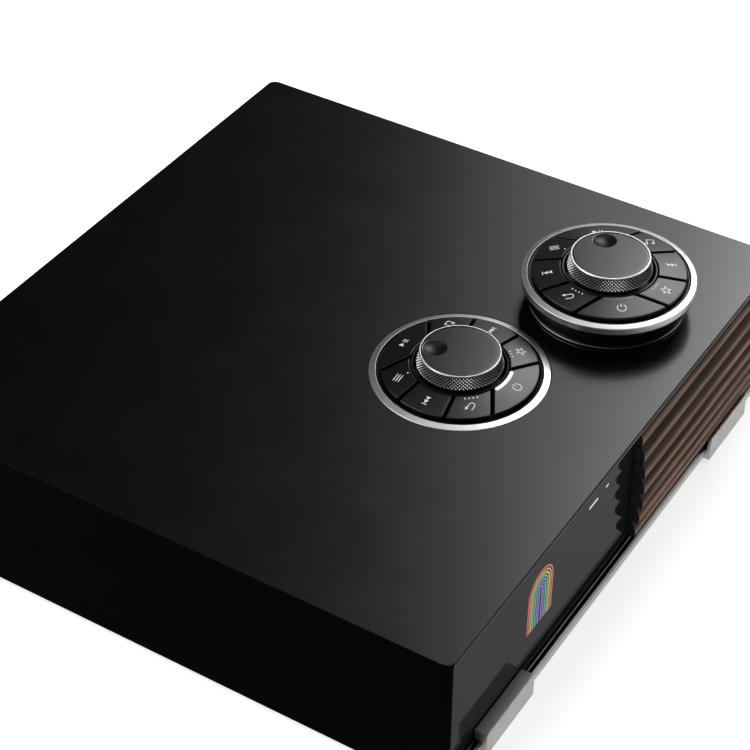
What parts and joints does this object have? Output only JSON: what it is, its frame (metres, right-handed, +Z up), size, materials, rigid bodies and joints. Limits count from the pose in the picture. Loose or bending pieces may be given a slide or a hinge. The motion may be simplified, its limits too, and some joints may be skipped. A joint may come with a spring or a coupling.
{
  "type": "compact music console with rotary remote",
  "caption": "Low table-top music console with a smoked display window, a slatted wood grille, a round controller in its top and a matching puck remote.",
  "frame": {"origin": "on the surface the console stands on, under the middle of its case", "axes": "+X to the right along the front, +Y from front to back, +Z up"},
  "size_m": [0.31, 0.2976, 0.1044],
  "materials": {
    "cover_black": "satin",
    "plate_black": "matt",
    "silver_metal": "fine satin anodised",
    "walnut": "open-grain matt",
    "black_plastic": "matt moulded",
    "dark_window": "smoked, mirror smooth",
    "display_face": "lit colour display",
    "socket_plastic": "moulded",
    "plated_metal": "nickel plated",
    "circuit_board": "solder mask",
    "power_parts": "taped windings and moulded cases",
    "sink_metal": "extruded",
    "ring_metal": "polished and lacquered",
    "key_grey": "soft satin",
    "knurled_metal": "dark anodised, diamond knurled",
    "knob_face": "satin",
    "steel": "turned",
    "shell_gloss": "semi gloss moulded",
    "foot_rubber": "matt",
    "battery_wrap": "shrink wrap",
    "cap_black": "moulded",
    "cap_red": "moulded"
  },
  "bodies": {
    "console": {"top_cover": "cover_black", "bottom_plate": "plate_black", "front_lip": "silver_metal", "runner_foot_right": "silver_metal", "runner_foot_left": "silver_metal", "slat_1": "walnut", "slat_2": "walnut", "slat_3": "walnut", "slat_4": "walnut", "slat_5": "walnut", "slat_6": "walnut", "slat_7": "walnut", "grille_back": "black_plastic", "front_frame": "black_plastic", "display_glass": "dark_window", "display_panel": "display_face", "rear_panel": "plate_black", "mains_inlet": "socket_plastic", "speaker_terminals": "socket_plastic", "line_sockets": "plated_metal", "digital_ports": "socket_plastic", "main_board": "circuit_board", "power_supply": "power_parts", "heat_sink": "sink_metal", "dial_ring": "ring_metal", "dial_tray": "black_plastic", "dial_encoder": "steel"},
    "dial_push": {"dial_push_collar": "steel"},
    "dial_knob": {"dial_shaft": "steel", "dial_knob_skirt": "knurled_metal", "dial_knob_cap": "knob_face"},
    "dial_power": {"dial_key_power": "key_grey"},
    "dial_back": {"dial_key_back": "key_grey"},
    "dial_previous": {"dial_key_previous": "key_grey"},
    "dial_menu": {"dial_key_menu": "key_grey"},
    "dial_play": {"dial_key_play": "key_grey"},
    "dial_source": {"dial_key_source": "key_grey"},
    "dial_next": {"dial_key_next": "key_grey"},
    "dial_star": {"dial_key_star": "key_grey"},
    "terminal_nut_1": {"terminal_cap_1": "cap_black"},
    "terminal_nut_2": {"terminal_cap_2": "cap_red"},
    "terminal_nut_3": {"terminal_cap_3": "cap_black"},
    "terminal_nut_4": {"terminal_cap_4": "cap_red"},
    "remote": {"remote_shell": "shell_gloss", "remote_bottom": "foot_rubber", "remote_ring": "ring_metal", "remote_board": "circuit_board", "remote_battery": "battery_wrap"},
    "remote_push": {"remote_push_collar": "steel"},
    "remote_knob": {"remote_shaft": "steel", "remote_knob_skirt": "knurled_metal", "remote_knob_cap": "knob_face"},
    "remote_power": {"remote_key_power": "key_grey"},
    "remote_back": {"remote_key_back": "key_grey"},
    "remote_previous": {"remote_key_previous": "key_grey"},
    "remote_menu": {"remote_key_menu": "key_grey"},
    "remote_play": {"remote_key_play": "key_grey"},
    "remote_source": {"remote_key_source": "key_grey"},
    "remote_next": {"remote_key_next": "key_grey"},
    "remote_star": {"remote_key_star": "key_grey"}
  },
  "joints": [
    {"name": "dial_knob_press", "type": "slide", "parent": "console", "child": "dial_push", "axis": [0, 0, -1], "range_m": [0, 0.0012], "stiffness_N_per_m": 1500, "springref_m": -0.0006},
    {"name": "dial_knob_turn", "type": "hinge", "parent": "dial_push", "child": "dial_knob", "pos_m": [0, -0.0593, 0.078], "axis": [0, 0, 1], "continuous": true},
    {"name": "dial_power_press", "type": "slide", "parent": "console", "child": "dial_power", "axis": [0, 0, -1], "range_m": [0, 0.0007], "stiffness_N_per_m": 800, "springref_m": -0.0006},
    {"name": "dial_back_press", "type": "slide", "parent": "console", "child": "dial_back", "axis": [0, 0, -1], "range_m": [0, 0.0007], "stiffness_N_per_m": 800, "springref_m": -0.0006},
    {"name": "dial_previous_press", "type": "slide", "parent": "console", "child": "dial_previous", "axis": [0, 0, -1], "range_m": [0, 0.0007], "stiffness_N_per_m": 800, "springref_m": -0.0006},
    {"name": "dial_menu_press", "type": "slide", "parent": "console", "child": "dial_menu", "axis": [0, 0, -1], "range_m": [0, 0.0007], "stiffness_N_per_m": 800, "springref_m": -0.0006},
    {"name": "dial_play_press", "type": "slide", "parent": "console", "child": "dial_play", "axis": [0, 0, -1], "range_m": [0, 0.0007], "stiffness_N_per_m": 800, "springref_m": -0.0006},
    {"name": "dial_source_press", "type": "slide", "parent": "console", "child": "dial_source", "axis": [0, 0, -1], "range_m": [0, 0.0007], "stiffness_N_per_m": 800, "springref_m": -0.0006},
    {"name": "dial_next_press", "type": "slide", "parent": "console", "child": "dial_next", "axis": [0, 0, -1], "range_m": [0, 0.0007], "stiffness_N_per_m": 800, "springref_m": -0.0006},
    {"name": "dial_star_press", "type": "slide", "parent": "console", "child": "dial_star", "axis": [0, 0, -1], "range_m": [0, 0.0007], "stiffness_N_per_m": 800, "springref_m": -0.0006},
    {"name": "remote_lift", "type": "slide", "parent": "console", "child": "remote", "axis": [0, 0, 1], "range_m": [0, 0.15]},
    {"name": "remote_knob_press", "type": "slide", "parent": "remote", "child": "remote_push", "axis": [0, 0, -1], "range_m": [0, 0.0012], "stiffness_N_per_m": 1500, "springref_m": -0.0006},
    {"name": "remote_knob_turn", "type": "hinge", "parent": "remote_push", "child": "remote_knob", "pos_m": [0.0798, -0.0914, 0.093], "axis": [0, 0, 1], "continuous": true},
    {"name": "remote_power_press", "type": "slide", "parent": "remote", "child": "remote_power", "axis": [0, 0, -1], "range_m": [0, 0.0007], "stiffness_N_per_m": 800, "springref_m": -0.0006},
    {"name": "remote_back_press", "type": "slide", "parent": "remote", "child": "remote_back", "axis": [0, 0, -1], "range_m": [0, 0.0007], "stiffness_N_per_m": 800, "springref_m": -0.0006},
    {"name": "remote_previous_press", "type": "slide", "parent": "remote", "child": "remote_previous", "axis": [0, 0, -1], "range_m": [0, 0.0007], "stiffness_N_per_m": 800, "springref_m": -0.0006},
    {"name": "remote_menu_press", "type": "slide", "parent": "remote", "child": "remote_menu", "axis": [0, 0, -1], "range_m": [0, 0.0007], "stiffness_N_per_m": 800, "springref_m": -0.0006},
    {"name": "remote_play_press", "type": "slide", "parent": "remote", "child": "remote_play", "axis": [0, 0, -1], "range_m": [0, 0.0007], "stiffness_N_per_m": 800, "springref_m": -0.0006},
    {"name": "remote_source_press", "type": "slide", "parent": "remote", "child": "remote_source", "axis": [0, 0, -1], "range_m": [0, 0.0007], "stiffness_N_per_m": 800, "springref_m": -0.0006},
    {"name": "remote_next_press", "type": "slide", "parent": "remote", "child": "remote_next", "axis": [0, 0, -1], "range_m": [0, 0.0007], "stiffness_N_per_m": 800, "springref_m": -0.0006},
    {"name": "remote_star_press", "type": "slide", "parent": "remote", "child": "remote_star", "axis": [0, 0, -1], "range_m": [0, 0.0007], "stiffness_N_per_m": 800, "springref_m": -0.0006},
    {"name": "terminal_nut_1_turn", "type": "hinge", "parent": "console", "child": "terminal_nut_1", "pos_m": [-0.093, 0.14, 0.026], "axis": [0, 1, 0], "range_deg": [0, 720]},
    {"name": "terminal_nut_2_turn", "type": "hinge", "parent": "console", "child": "terminal_nut_2", "pos_m": [-0.079, 0.14, 0.026], "axis": [0, 1, 0], "range_deg": [0, 720]},
    {"name": "terminal_nut_3_turn", "type": "hinge", "parent": "console", "child": "terminal_nut_3", "pos_m": [-0.065, 0.14, 0.026], "axis": [0, 1, 0], "range_deg": [0, 720]},
    {"name": "terminal_nut_4_turn", "type": "hinge", "parent": "console", "child": "terminal_nut_4", "pos_m": [-0.051, 0.14, 0.026], "axis": [0, 1, 0], "range_deg": [0, 720]}
  ]
}
